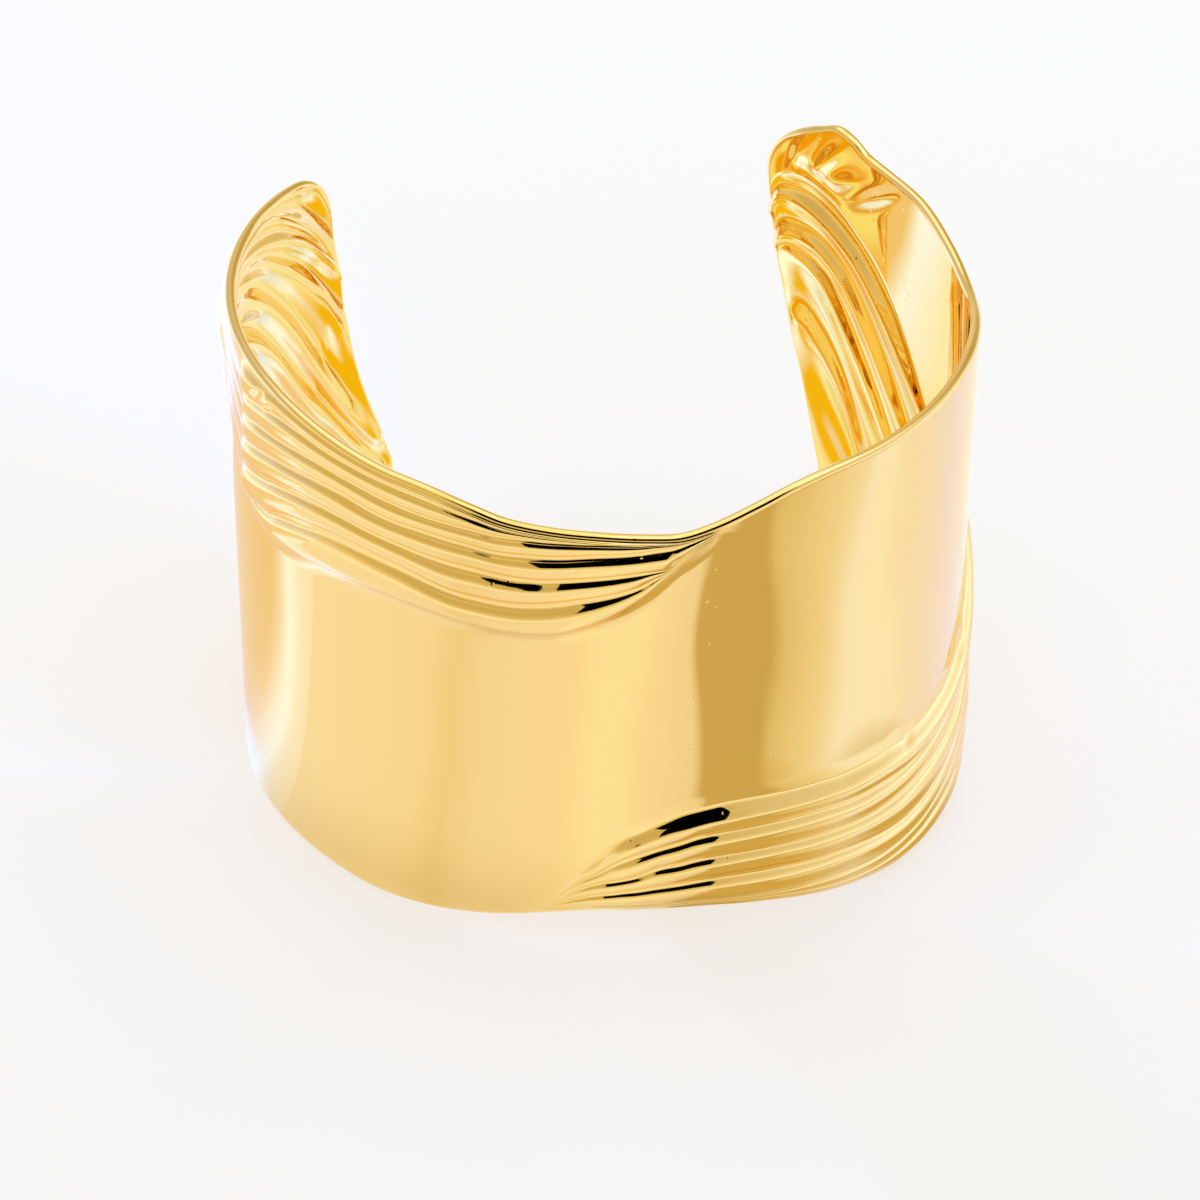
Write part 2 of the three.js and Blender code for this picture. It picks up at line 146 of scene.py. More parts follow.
UPPER_FAN = (
    (-76.8, 8, 9.8, 17.2, 34, 39.2, 42, 0),
    (-75.6, 7.7, 9.3, 16.7, 33.2, 38.7, 41.7, 0),
    (-74.4, 7.5, 9, 16.4, 32.7, 37.7, 41.2, 0.35),
    (-72.5, 5.4, 7.3, 13, 28.1, 33.3, 38.1, 0.9),
    (-70, 3.5, 5.8, 10, 21.2, 28, 33.8, 1),
    (-68, 2.4, 4.9, 8.2, 16.3, 25, 30.5, 1),
    (-64, 1.45, 3.55, 5.35, 10.65, 16.75, 23.2, 1),
    (-60, 0.85, 2.65, 3.85, 7.85, 12.35, 17.8, 1),
    (-56, 0.8, 1.9, 2.8, 6.9, 10, 13.7, 1),
    (-50, 1.15, 2.55, 4.25, 7.25, 10.05, 12.3, 0.3),
    (-46.5, 1.9, 3.6, 5.8, 8.8, 11.9, 13, 0.06),
    (-43, 2.8, 4.9, 7.5, 10.4, 13.6, 14.1, 0.06),
    (-40.5, 3.25, 5.5, 8, 10.8, 14, 14.6, 0.4),
    (-39, 3.1, 5.15, 7.6, 10.4, 13.9, 15, 0.85),
    (-37, 2.45, 4.4, 6.9, 9.75, 13.6, 15.2, 1),
    (-35, 1.75, 3.95, 6.25, 9, 12.8, 15.35, 1),
    (-33, 1.15, 3.5, 5.6, 8.2, 11.7, 15.15, 1),
    (-30, 0.8, 2.8, 4.8, 7.2, 10.3, 14.6, 1),
    (-27.5, 0.75, 2.4, 4.2, 6.6, 9.35, 13.8, 1),
    (-25, 0.6, 2.2, 3.8, 6.25, 8.7, 13.3, 1),
    (-23, 0.5, 2.1, 3.8, 6.15, 8.45, 12.95, 1),
    (-21, 0.45, 2.1, 3.9, 6.1, 8.4, 12.6, 1),
    (-19, 0.45, 2.2, 3.9, 6.1, 8.5, 12.55, 1),
    (-17, 0.45, 2.2, 3.7, 6.1, 8.75, 12.35, 1),
    (-15, 0.4, 1.9, 3.45, 5.85, 8.85, 12.1, 1),
    (-13, 0.35, 1.5, 3.1, 5.45, 8.6, 11.85, 1),
    (-11, 0.3, 1.1, 2.75, 5.05, 8.1, 11.5, 1),
    (-8.4, 0.2, 0.6, 2.25, 4.75, 7.6, 11.05, 1),
    (-6.7, 0.15, 0.45, 2, 4.55, 7.2, 10.8, 1),
    (-5, 0.1, 0.3, 1.75, 4.2, 6.7, 10.3, 1),
    (-3.4, 0.1, 0.25, 1.45, 3.9, 6.2, 9.55, 1),
    (-1.8, 0.1, 0.2, 1.2, 3.6, 5.75, 8.7, 1),
    (0, 0.05, 0.15, 1, 3.25, 5.15, 7.5, 1),
    (1.5, 0.05, 0.15, 0.8, 3, 4.5, 6.2, 1),
    (2.6, 0.05, 0.1, 0.6, 2.85, 3.75, 5.1, 1),
    (3.9, 0.05, 0.1, 0.4, 2.6, 2.95, 3.4, 1),
    (4.7, 0.05, 0.1, 0.3, 1.9, 2.15, 2.45, 1),
    (5.6, 0.05, 0.1, 0.2, 1.15, 1.4, 1.85, 1),
    (7, 0.05, 0.1, 0.15, 0.5, 0.7, 1, 1),
    (8.2, 0.05, 0.1, 0.15, 0.3, 0.4, 0.5, 0.4),
    (11.5, 0.3, 0.6, 0.9, 1.2, 1.5, 1.9, 0),
    (22, 0.9, 1.7, 2.5, 3.3, 4.1, 5, 0),
    (40, 1.2, 2.4, 3.6, 4.8, 6, 7.4, 0),
    (60, 0.45, 0.9, 1.35, 1.8, 2.25, 2.8, 0),
    (76.8, 0.3, 0.6, 0.9, 1.2, 1.5, 1.8, 0),
)
CREASES = FAN_COLUMNS[1:-1]

# How far each fan swells from the oval where it is full, in mm, at its rim and at each crease.
LOWER_SWELL = (0.5, 0.5, 0.5, 0.4, 0.25, 0.1, 0)
UPPER_SWELL = (0, 0.1, 0.2, 0.3, 0.3, 0.15, 0)

# The height of each pleat against a full one, from the one next to the rim outwards.
LOWER_SHARES = (0.76, 0.76, 0.78, 0.8, 0.84, 1)
UPPER_SHARES = (0.9, 0.9, 0.95, 1, 1, 1)

# How far the pleats' section goes from crisp arches, 0, to soft folds, 1, along the sheet.
FOLD_SOFTNESS = ((-76.8, 1), (-54, 1), (-46, 0.3), (-40, 0), (40, 0), (54, 0.6), (76.8, 0.8))

# Small ridges and puckers in the sheet, as (along, height, turn, length, width, rise). Each is a
# soft oblong: where its middle lies in mm, how its length is turned from the along direction in
# degrees, its half length and half width in mm, and how far it stands out in mm.
DENTS = (
    # the right arm's end
    (76.0, 44.8, 0, 0.9, 0.7, -0.4),
    (75.7, 40.5, 0, 0.9, 0.7, -0.35),
    (75.5, 30.5, 0, 0.8, 0.8, -0.35),
    # the left arm's end
    (-74.4, 39.7, 0, 0.9, 0.9, -0.35),
    (-74.1, 32.1, 0, 0.9, 1.0, -0.35),
    (-74.6, 15.6, 0, 0.9, 0.9, -0.3),
    (-72.1, 27.4, 90, 1.8, 0.3, 0.3),
    # the tuck under the front rim, and the nicks above the lower pleats
    (-36.4, 47.5, 35, 1.0, 0.4, -0.4),
    (-35.0, 47.2, 60, 0.5, 0.4, 0.3),
    (27.0, 15.3, 48, 0.8, 0.3, -0.2),
    (30.0, 14.6, 48, 1.6, 0.25, -0.2),
    (42.0, 16.6, 60, 1.4, 0.8, 0.25),
)
# The same, pressed into the inside of the arms only.
INNER_DENTS = (
    # the tip of the right arm
    (74.9, 47.8, 98, 2.4, 0.7, 0.16),
    (73.3, 48.4, 108, 3, 0.8, -0.24),
    (71.0, 48.2, 122, 2.8, 0.75, -0.24),
    (69.0, 47.2, 150, 2, 0.75, -0.2),
    (71.6, 46.2, 25, 2.4, 0.8, 0.22),
    # the crescent beside it
    (65.3, 47.4, 146, 3, 0.65, -0.28),
    # the arch in the left arm's tip
    (-66.0, 46.9, 22, 3.6, 0.9, 0.5),
)

# Where the columns of the mesh lie: a share of their count, and how far along the sheet that is.
COLUMN_SPREAD = (
    (0, -70.6), (0.07, -66), (0.20, -42), (0.42, -11), (0.60, 9), (0.78, 44), (0.90, 62), (1, 71.8))

COLUMNS = 364           # cells along the sheet, between the rounded corners
CORNER_COLUMNS = 14     # cells along each rounded corner
ROWS_PER_PLEAT = 8
ROWS_ON_PLAIN_WALL = 20
RIM_STEPS = 4           # rings of faces round each rim, from the flat of the sheet to its edge
OVAL_STEPS = 4000       # steps round the oval, for its length
SEAM_GAP = 1e-6         # the two skins are merged along their rims within this
HOLLOW_HEIGHT = 0.025   # the hollow in the left arm's end: its middle, its reach up and down
HOLLOW_REACH = 0.014
HOLLOW_FADE = 0.066     # and how far along the sheet it starts
FLARE_REACH = 0.0024    # the length of each arm that turns outwards
WALL_HEIGHT = 0.049     # height of the plain wall, which the lean and the slant go by

# ---- tables of the stage ------------------------------------------------------------------------

# Painted light and shade of the table top that the metal mirrors, as (azimuth, red, green, blue). The
# azimuth is in degrees about the fan's centre: 0 towards the front, positive towards the right.
TABLE_BANDS = (
    (-179.9, 1.03, 1.1, 1.15),
    (-162, 1.03, 1.28, 2.6),
    (-153, 1.05, 1.34, 2.8),
    (-146, 1, 1.05, 1.6),
    (-138, 0.96, 0.86, 0.95),
    (-128, 0.95, 0.81, 0.8),
    (-113, 0.97, 0.85, 0.9),
    # painted highlight: a pool of light on the table, brightest at -100.5 degrees
    (-108, 1.02, 0.98, 1.25),
    (-104, 1.03, 1.15, 1.8),
    (-100.5, 1.05, 1.32, 2.5),
    (-97, 1.03, 1.15, 1.9),
    (-92, 1.02, 1.07, 1.62),
    (-84, 1, 0.99, 1.31),
    (-54, 0.98, 0.95, 1.23),
    (-45, 0.92, 0.86, 0.97),
    (-36, 0.96, 0.93, 1.23),
    (-14, 1, 0.97, 1.25),
    (-6, 1.03, 1.06, 1.35),
    (4, 1.03, 1.06, 1.35),
    (10, 1, 0.97, 1.25),
    (23, 0.93, 0.89, 1.12),
    # painted shadow: the cuff's own shadow on the table, from here to 42 degrees
    (25.3, 0.66, 0.53, 0.35),
    (42, 0.63, 0.51, 0.33),
    (45.5, 0.8, 0.71, 0.62),
    (51, 0.86, 0.79, 0.81),
    (61, 0.93, 0.89, 1.06),
    (69, 1, 1.1, 1.88),
    (79, 1.02, 1.1, 1.7),
    (90, 0.98, 0.99, 1.45),
    (108, 0.96, 0.95, 1.5),
    (125, 1, 1.02, 1.1),
    (179.9, 1.03, 1.1, 1.15),
)
TABLE_TOP = 4.0             # the brightest value that the ramp of the bands has to hold
TABLE_FAN_CENTRE = -0.0097  # where the bands fan out from, in Y
TABLE_TWIST = 0.5           # turns for each metre outwards
TWIST_RADIUS = 0.045        # where the twist is nothing
TABLE_WOBBLE = 0.04         # share of a turn
TABLE_WOBBLE_SCALE = 38
TABLE_RADIUS = 0.6
TABLE_SIDES = 64

# How the table top's painted light dims and brightens outwards, as (radius in metres, red, green, blue).
TABLE_RINGS = (
    (0, 1, 1, 1),
    (0.025, 1, 1, 1),
    # painted contact shadow round the foot of the cuff, from 25 to 40 mm out
    (0.030, 0.84, 0.8, 0.7),
    (0.034, 0.93, 0.91, 0.86),
    (0.040, 1, 1, 1),
    (0.11, 1, 1, 1),
    (0.2, 1.04, 1.08, 1.15),
    (0.6, 1.1, 1.15, 1.3),
)
RING_GAIN = 1.4             # the brightest value that the ramp of the rings has to hold

# Patches of painted light and shade on the floor, as (name, centre, inner radius, outer radius, colour):
# warm light inside the cuff and behind its left arm, a bright pool, and shade in front of the lower pleats.
# Each fades to nothing between its two radii, and lies one step above the last.
PAINTED_FLOOR_LIGHTS = (
    # painted warm light, thrown by the gold onto the floor inside the cuff
    ("warm_glow", (0.003, -0.003), 0.014, 0.024, (0.95, 0.66, 0.02)),
    # painted warm light on the floor behind the left arm
    ("side_glow", (-0.048, 0.026), 0.018, 0.027, (0.93, 0.78, 0.66)),
    # a painted pool of bright light inside the cuff, on its left
    ("foot_glow", (-0.0215, 0.002), 0.005, 0.013, (1.04, 1.45, 3)),
    # painted shade on the floor in front of the lower pleats
    ("fan_shade", (0.021, -0.033), 0.005, 0.014, (0.68, 0.52, 0.25)),
    ("fan_end_shade", (0.034, -0.016), 0.005, 0.014, (0.68, 0.52, 0.25)),
)
PATCH_STEP = 0.00005
PATCH_SIDES = 48

# Brightness of the tent's walls as (azimuth, red, green, blue), and how it changes upwards, as
# (height, red, green, blue).
TENT_BANDS = (
    (-179.9, 0.8, 0.76, 0.75),
    (-140, 0.7, 0.66, 0.78),
    (-122, 0.7, 0.67, 0.88),
    (-100, 0.72, 0.67, 0.8),
    (-86, 0.74, 0.66, 0.55),
    (-70, 0.74, 0.64, 0.48),
    (-18, 0.7, 0.6, 0.44),
    (-8, 0.72, 0.62, 0.46),
    (8, 0.72, 0.62, 0.46),
    (22, 0.76, 0.68, 0.58),
    (32, 0.77, 0.69, 0.62),
    (75, 0.88, 0.88, 1.1),
    (95, 0.94, 1.0, 1.5),
    (112, 0.9, 0.92, 1.12),
    (130, 0.6, 0.48, 0.28),
    (150, 0.6, 0.48, 0.31),
    (165, 0.7, 0.6, 0.5),
    (179.9, 0.8, 0.76, 0.75),
)
TENT_HEIGHTS = (
    (0, 1.4, 1.55, 2.2),
    (0.12, 1.2, 1.27, 1.55),
    (0.35, 0.97, 0.95, 0.9),
    (0.6, 0.9, 0.88, 0.85),
    (0.76, 1.1, 1.1, 1.15),
    (0.86, 1.7, 1.9, 2.4),
    (1, 1.7, 1.9, 2.4),
)
TENT_TOP = 2.8              # the brightest value that the ramp of the walls has to hold
TENT_GAIN = 2.6             # and that of the heights
TENT_RADIUS = 1.0
TENT_SIDES = 48
TENT_TIERS = 24

# The dark opening, a card in front of the cuff.
OPENING_AZIMUTH = 3         # degrees
OPENING_WIDTH = 0.33
OPENING_HEIGHT = 0.26
OPENING_DISTANCE = 0.42

FLOOR_REACH = 2             # from the middle of the floor to its sides
FLOOR_ROUGHNESS = 0.06
FLOOR_GLOSS = 0.35
SOFTBOX_SIZE = 1.0
SOFTBOX_PLACE = (0, 0.1, 1.0)
FILM_WIDTH = 36             # in mm

# ---- grain of the gold --------------------------------------------------------------------------

WAVE_SCALE = 90             # slow waves of the hand polish: how many to a metre, and their height
WAVE_HEIGHT = 0.0005
PIT_SCALE = 700             # casting pits: how many to a metre
PIT_BOTTOM = 0.04           # where a pit's floor ends and where its slope ends, in shares of a cell
PIT_RIM = 0.12
PIT_DEPTH = 0.00003


def read_table(table, columns, column, along):
    """A smooth curve through one column of a table, as a cubic Hermite with averaged slopes."""
    at = np.array([row[0] for row in table], float)
    value = np.array([row[columns.index(column)] for row in table], float)
    slope = np.empty_like(value)
    slope[1:-1] = (value[2:] - value[:-2]) / (at[2:] - at[:-2])
    slope[0] = (value[1] - value[0]) / (at[1] - at[0])
    slope[-1] = (value[-1] - value[-2]) / (at[-1] - at[-2])
    i = np.clip(np.searchsorted(at, along) - 1, 0, len(at) - 2)
    span = at[i + 1] - at[i]
    t = np.clip((along - at[i]) / span, 0, 1)
    rise = value[i + 1] - value[i]
    start, end = slope[i] * span, slope[i + 1] * span
    return value[i] + start * t + (3 * rise - 2 * start - end) * t**2 + (start + end - 2 * rise) * t**3


# ---- sizes and colours --------------------------------------------------------------------------


class CuffSizes(bpy.types.PropertyGroup):
    """Sizes of the cuff's sheet and of its pleats."""

    oval_width: bpy.props.FloatProperty(
        name="Oval width", description="Across the plain wall, side to side",
        default=0.065, unit="LENGTH")
    oval_depth: bpy.props.FloatProperty(
        name="Oval depth", description="Across the plain wall, front to back, were the oval closed",
        default=0.0595, unit="LENGTH")
    left_end: bpy.props.FloatProperty(
        name="Left end", description="Place of the left arm's end, along the sheet from the middle",
        default=-0.0756, unit="LENGTH")
    right_end: bpy.props.FloatProperty(
        name="Right end", description="Place of the right arm's end, along the sheet",
        default=0.0768, unit="LENGTH")
    thickness: bpy.props.FloatProperty(
        name="Sheet thickness", description="Thickness of the metal",
        default=0.001, unit="LENGTH")
    end_slant: bpy.props.FloatProperty(
        name="End slant", description="How far each arm end leans along the sheet",
        default=0.0042, unit="LENGTH")
    end_hollow: bpy.props.FloatProperty(
        name="End hollow", description="How far the left arm's end curves in at its middle",
        default=0.0009, unit="LENGTH")
    end_flare: bpy.props.FloatProperty(
        name="End flare", description="How far the last of each arm turns outwards",
        default=0.00035, unit="LENGTH")
    corner_radius: bpy.props.FloatProperty(
        name="Corner radius", description="Rounding of the arm ends' corners",
        default=0.005, unit="LENGTH")
    wall_lean: bpy.props.FloatProperty(
        name="Wall lean", description="Sideways lean of the wall for each unit of height",
        default=-0.037)
    pleat_rise: bpy.props.FloatProperty(
        name="Pleat rise", description="Height of a full pleat above the creases beside it",
        default=0.00105, unit="LENGTH")
    pleat_width: bpy.props.FloatProperty(
        name="Full pleat width", description="A narrower pleat stands lower, in proportion",
        default=0.0032, unit="LENGTH")
    fan_width: bpy.props.FloatProperty(
        name="Full fan width", description="A narrower fan swells less, in proportion",
        default=0.008, unit="LENGTH")
    pleat_fullness: bpy.props.FloatProperty(
        name="Pleat fullness", description="2 for an even arch, more for a flatter crown",
        default=2.4)


class CuffFinish(bpy.types.PropertyGroup):
    """Colour and polish of the gold."""

    gold: bpy.props.FloatVectorProperty(
        name="Gold", description="Colour of the polished metal",
        default=(0.96, 0.7, 0.21), size=3, subtype="COLOR")
    roughness: bpy.props.FloatProperty(
        name="Roughness", description="Polish of the metal, 0 for a mirror",
        default=0.04, min=0, max=1)
    waviness: bpy.props.FloatProperty(
        name="Waviness", description="Strength of the slow unevenness left by hand polishing",
        default=0.03, min=0, max=1)
    pits: bpy.props.FloatProperty(
        name="Pits", description="Strength of the fine casting pits",
        default=0.25, min=0, max=1)


class StudioSettings(bpy.types.PropertyGroup):
    """Where the camera stands and how bright the studio is."""

    azimuth: bpy.props.FloatProperty(
        name="Camera azimuth", description="Round from the front of the cuff, to the right",
        default=math.radians(-5.0), subtype="ANGLE")
    elevation: bpy.props.FloatProperty(
        name="Camera elevation", description="Above the floor",
        default=math.radians(38), subtype="ANGLE")
    roll: bpy.props.FloatProperty(
        name="Camera roll", description="Turn of the camera about its own line of sight",
        default=math.radians(3.28), subtype="ANGLE")
    distance: bpy.props.FloatProperty(
        name="Camera distance", description="From the camera to the point that it looks at",
        default=0.42, unit="LENGTH")
    target: bpy.props.FloatVectorProperty(
        name="Camera target", description="The point that the camera looks at",
        default=(0.00015, 0.00232, 0.01531), size=3, subtype="TRANSLATION")
    lens: bpy.props.FloatProperty(
        name="Lens", description="Focal length on a 36 mm wide film",
        default=139.7, unit="CAMERA")
    floor: bpy.props.FloatVectorProperty(
        name="Floor", description="Colour of the studio floor",
        default=(0.6, 0.6, 0.6), size=3, subtype="COLOR")
    floor_glow: bpy.props.FloatProperty(
        name="Floor glow", description="Light that comes up through the floor",
        default=0.495, min=0)
    sky: bpy.props.FloatProperty(
        name="Tent light", description="Even light from all round",
        default=0.6, min=0)
    softbox_power: bpy.props.FloatProperty(
        name="Softbox power", description="Light from the softbox overhead",
        default=1.4, min=0, unit="POWER")


# ---- the sheet ----------------------------------------------------------------------------------


def to_arm_end(along, sizes):
    """Distance along the sheet to the nearer arm end."""
    return np.where(along < 0, along - sizes.left_end, sizes.right_end - along)


def column_places(sizes, inset):
    """Places of the columns along the sheet, drawn in by inset and closing up in the corners."""
    radius = sizes.corner_radius - inset
    share, place = zip(*COLUMN_SPREAD)
    middle = np.interp(np.linspace(0, 1, COLUMNS + 1), share, place) * MM
    turn = np.linspace(0, math.pi / 2, CORNER_COLUMNS + 1)[1:]
    return np.concatenate([
        (sizes.left_end + sizes.corner_radius - radius * np.sin(turn))[::-1],
        middle,
        sizes.right_end - sizes.corner_radius + radius * np.sin(turn),
    ])


def fan_rows(fan, swelling, along, sizes, shares, soft=False):
    """Distances from the fan's own rim, and heights above the oval, for the rows of one fan."""
    at = along / MM
    creases = [np.zeros_like(at)] + [read_table(fan, FAN_COLUMNS, name, at) for name in CREASES]
    rise = np.clip(read_table(fan, FAN_COLUMNS, "rise", at), 0, 1)
    swell = np.clip(creases[-1] * MM / sizes.fan_width, 0, 1)
    round_share = np.interp(at, *zip(*FOLD_SOFTNESS))
    distance, proud = [], []
    for k in range(len(CREASES)):
        near, far = creases[k], creases[k + 1]
        steepness = np.gradient(far, at)
        width = (far - near) * MM / np.hypot(1, steepness)
        fullness = np.clip(width / sizes.pleat_width, 0, 1)
        for step in range(ROWS_PER_PLEAT):
            t = step / ROWS_PER_PLEAT
            arch = 1 - abs(2 * t - 1) ** sizes.pleat_fullness
            even = 0.5 + 0.5 * math.cos(math.pi * (2 * t - 1))
            if soft and k == len(CREASES) - 1 and t > 0.5:  # the edge runs out onto the plain wall
                arch = even
            arch = arch + (even - arch) * round_share
            level = swelling[k] + (swelling[k + 1] - swelling[k]) * t
            distance.append((near + (far - near) * t) * MM)
            proud.append(rise * (swell * level * MM + sizes.pleat_rise * shares[k] * fullness * arch))
    return distance, proud, creases[-1] * MM


def dents(table, along, height):
    """How far the small ridges and puckers of a table stand out at each point."""
    total = np.zeros_like(height)
    for middle, level, turn, length, width, rise in table:
        cos, sin = math.cos(math.radians(turn)), math.sin(math.radians(turn))
        across, up = along / MM - middle, height / MM - level
        down_length = (across * cos + up * sin) / length
        down_width = (up * cos - across * sin) / width
        total += rise * MM * np.exp(-down_length ** 2 - down_width ** 2)
    return total


def sheet_rows(along, sizes):
    """For every row of the band, its share of the way up and how proud it stands; and both rims."""
    lower = np.maximum(0, read_table(RIMS, RIM_COLUMNS, "lower", along / MM)) * MM
    upper = read_table(RIMS, RIM_COLUMNS, "upper", along / MM) * MM
    distance, proud, edge = fan_rows(LOWER_FAN, LOWER_SWELL, along, sizes, LOWER_SHARES, soft=True)
    far_distance, far_proud, far_edge = fan_rows(UPPER_FAN, UPPER_SWELL, along, sizes, UPPER_SHARES)
    height = [lower + d for d in distance]
    for step in range(ROWS_ON_PLAIN_WALL + 1):
        t = step / ROWS_ON_PLAIN_WALL
        height.append((lower + edge) * (1 - t) + (upper - far_edge) * t)
        proud.append(np.zeros_like(along))
    height += [upper - d for d in reversed(far_distance)]
    proud += list(reversed(far_proud))
    height = np.array(height)
    share = (height - lower) / (upper - lower)
    return share, np.array(proud) + dents(DENTS, along, height), lower, upper


def oval_points(sizes):
    """The oval seen from above, measured along its length from the middle of the front."""
    angle = np.linspace(-math.pi, math.pi, OVAL_STEPS + 1)
    x = np.sin(angle) * sizes.oval_width / 2
    y = -np.cos(angle) * sizes.oval_depth / 2
    length = np.concatenate([[0], np.cumsum(np.hypot(np.diff(x), np.diff(y)))])
    return length - length[-1] / 2, angle


def end_shift(along, height, sizes):
    """How far a point moves along the sheet because of the shape of the arm ends."""
    slant = sizes.end_slant * np.cos(math.pi * height / WALL_HEIGHT) * (along / sizes.right_end) ** 2
    across = np.maximum(0, 1 - ((height - HOLLOW_HEIGHT) / HOLLOW_REACH) ** 2) ** 2
    towards_end = np.clip((-along - HOLLOW_FADE) / (-sizes.left_end - HOLLOW_FADE), 0, 1)
    return sizes.end_hollow * across * towards_end - slant


def curl(along, height, outward, sizes):
    """Places of points of the sheet once it is bent round the oval."""
    lengths, angle = oval_points(sizes)
    at = np.interp(along + end_shift(along, height, sizes), lengths, angle)
    tangent = np.stack([np.cos(at) * sizes.oval_width, np.sin(at) * sizes.oval_depth])
    tangent /= np.hypot(*tangent)
    out = outward + sizes.end_flare * np.clip(1 - to_arm_end(along, sizes) / FLARE_REACH, 0, 1) ** 2
    return np.stack([
        np.sin(at) * sizes.oval_width / 2 + tangent[1] * out + sizes.wall_lean * (height - WALL_HEIGHT / 2),
        -np.cos(at) * sizes.oval_depth / 2 - tangent[0] * out,
        height,
    ], axis=1)


def flat_blank(sizes):
    """The blank as a grid, flat: X along the sheet, Y for the height, Z for the pleats' rise."""
    bm = bmesh.new()
    inset = sizes.thickness / 2
    along = column_places(sizes, inset)
    columns = len(along) - 1
    rows = 2 * len(CREASES) * ROWS_PER_PLEAT + ROWS_ON_PLAIN_WALL
    bmesh.ops.create_grid(bm, x_segments=columns, y_segments=rows, size=1)
    share, proud, lower, upper = sheet_rows(along, sizes)
    radius = sizes.corner_radius - inset
    into = np.clip(radius - (to_arm_end(along, sizes) - inset), 0, radius)
    corner = inset + radius - np.sqrt(radius**2 - into**2)
    for vert in bm.verts:
        column = round((vert.co.x + 1) / 2 * columns)
        row = round((vert.co.y + 1) / 2 * rows)
        low, high = lower[column] + corner[column], upper[column] - corner[column]
        vert.co = (along[column], low + share[row, column] * (high - low), proud[row, column])
    return bm


def outline_facing(bm):
    """Which way the outline of the flat blank faces, at each of its vertices."""
    facing = {}
    for edge in bm.edges:
        if edge.is_boundary:
            start = edge.link_loops[0].vert
            run = (edge.other_vert(start).co - start.co).xy
            for vert in edge.verts:
                facing[vert] = facing.get(vert, Vector((0, 0))) + Vector((run.y, -run.x)).normalized()
    return {vert: direction.normalized() for vert, direction in facing.items()}


def add_rim_rings(bm, sizes):
    """Rings of faces round the blank. A layer keeps how much of the thickness is left there."""
    left = bm.verts.layers.float.new("thickness_left")
    for vert in bm.verts:
        vert[left] = 1
    ring = {edge for edge in bm.edges if edge.is_boundary}
    facing = outline_facing(bm)
    reach = 0
    for step in range(1, RIM_STEPS + 1):
        angle = math.pi / 2 * step / RIM_STEPS
        advance = sizes.thickness / 2 * math.sin(angle) - reach
        reach += advance
        made = bmesh.ops.extrude_edge_only(bm, edges=list(ring))["geom"]
        fresh = [item for item in made if isinstance(item, bmesh.types.BMVert)]
        moved = {}
        for vert in fresh:
            source = next(e.other_vert(vert) for e in vert.link_edges if e.other_vert(vert) in facing)
            moved[vert] = facing[source]
            vert.co += Vector((*facing[source], 0)) * advance
            vert[left] = max(0, math.cos(angle)) if step < RIM_STEPS else 0
        facing = moved
        ring = {edge for edge in bm.edges if edge.is_boundary}


def cuff_sheet(sizes):
    """The finished sheet as a closed bmesh: two curled skins that meet along their rims."""
    bm = flat_blank(sizes)
    add_rim_rings(bm, sizes)
    left = bm.verts.layers.float["thickness_left"]
    skins = bmesh.ops.duplicate(bm, geom=bm.verts[:] + bm.edges[:] + bm.faces[:])["geom"]
    inner_verts = {item for item in skins if isinstance(item, bmesh.types.BMVert)}
    inner_faces = [item for item in skins if isinstance(item, bmesh.types.BMFace)]
    bmesh.ops.reverse_faces(bm, faces=inner_faces)
    along, height, proud = np.array([vert.co for vert in bm.verts]).T
    share = np.array([vert[left] for vert in bm.verts])
    inside = np.array([vert in inner_verts for vert in bm.verts])
    half = np.where(inside, -share, share) * sizes.thickness / 2
    pressed = np.where(inside, share * dents(INNER_DENTS, along, height), 0)
    places = curl(along, height, proud + pressed - sizes.thickness / 2 + half, sizes)
    for vert, place in zip(bm.verts, places):
        vert.co = place
    bmesh.ops.remove_doubles(bm, verts=[vert for vert in bm.verts if vert[left] == 0], dist=SEAM_GAP)
    return bm


def stand_in_box(bm, low, high):
    """Moves a bmesh so that the middle of its box in plan, and its lowest point, meet the frame's."""
    places = np.array([vert.co for vert in bm.verts])
    lowest, highest = places.min(0), places.max(0)
    middle = (low + high) / 2
    shift = Vector((
        middle.x - (lowest[0] + highest[0]) / 2,
        middle.y - (lowest[1] + highest[1]) / 2,
        low.z - lowest[2],
    ))
    bmesh.ops.translate(bm, verts=bm.verts, vec=shift)


def add_piece(name, bm, material):
    """Makes a smooth-shaded object of a bmesh, with its place in its mesh."""
    mesh = bpy.data.meshes.new(name)
    bm.to_mesh(mesh)
    bm.free()
    for polygon in mesh.polygons:
        polygon.use_smooth = True
    mesh.materials.append(material)
    piece = bpy.data.objects.new(name, mesh)
    bpy.context.scene.collection.objects.link(piece)
    return piece


# ---- finishes -----------------------------------------------------------------------------------


def new_material(name):
    """An empty material made of nodes, and its node tree."""
    material = bpy.data.materials.new(name)
    material.use_nodes = True
    material.node_tree.nodes.clear()
    return material, material.node_tree


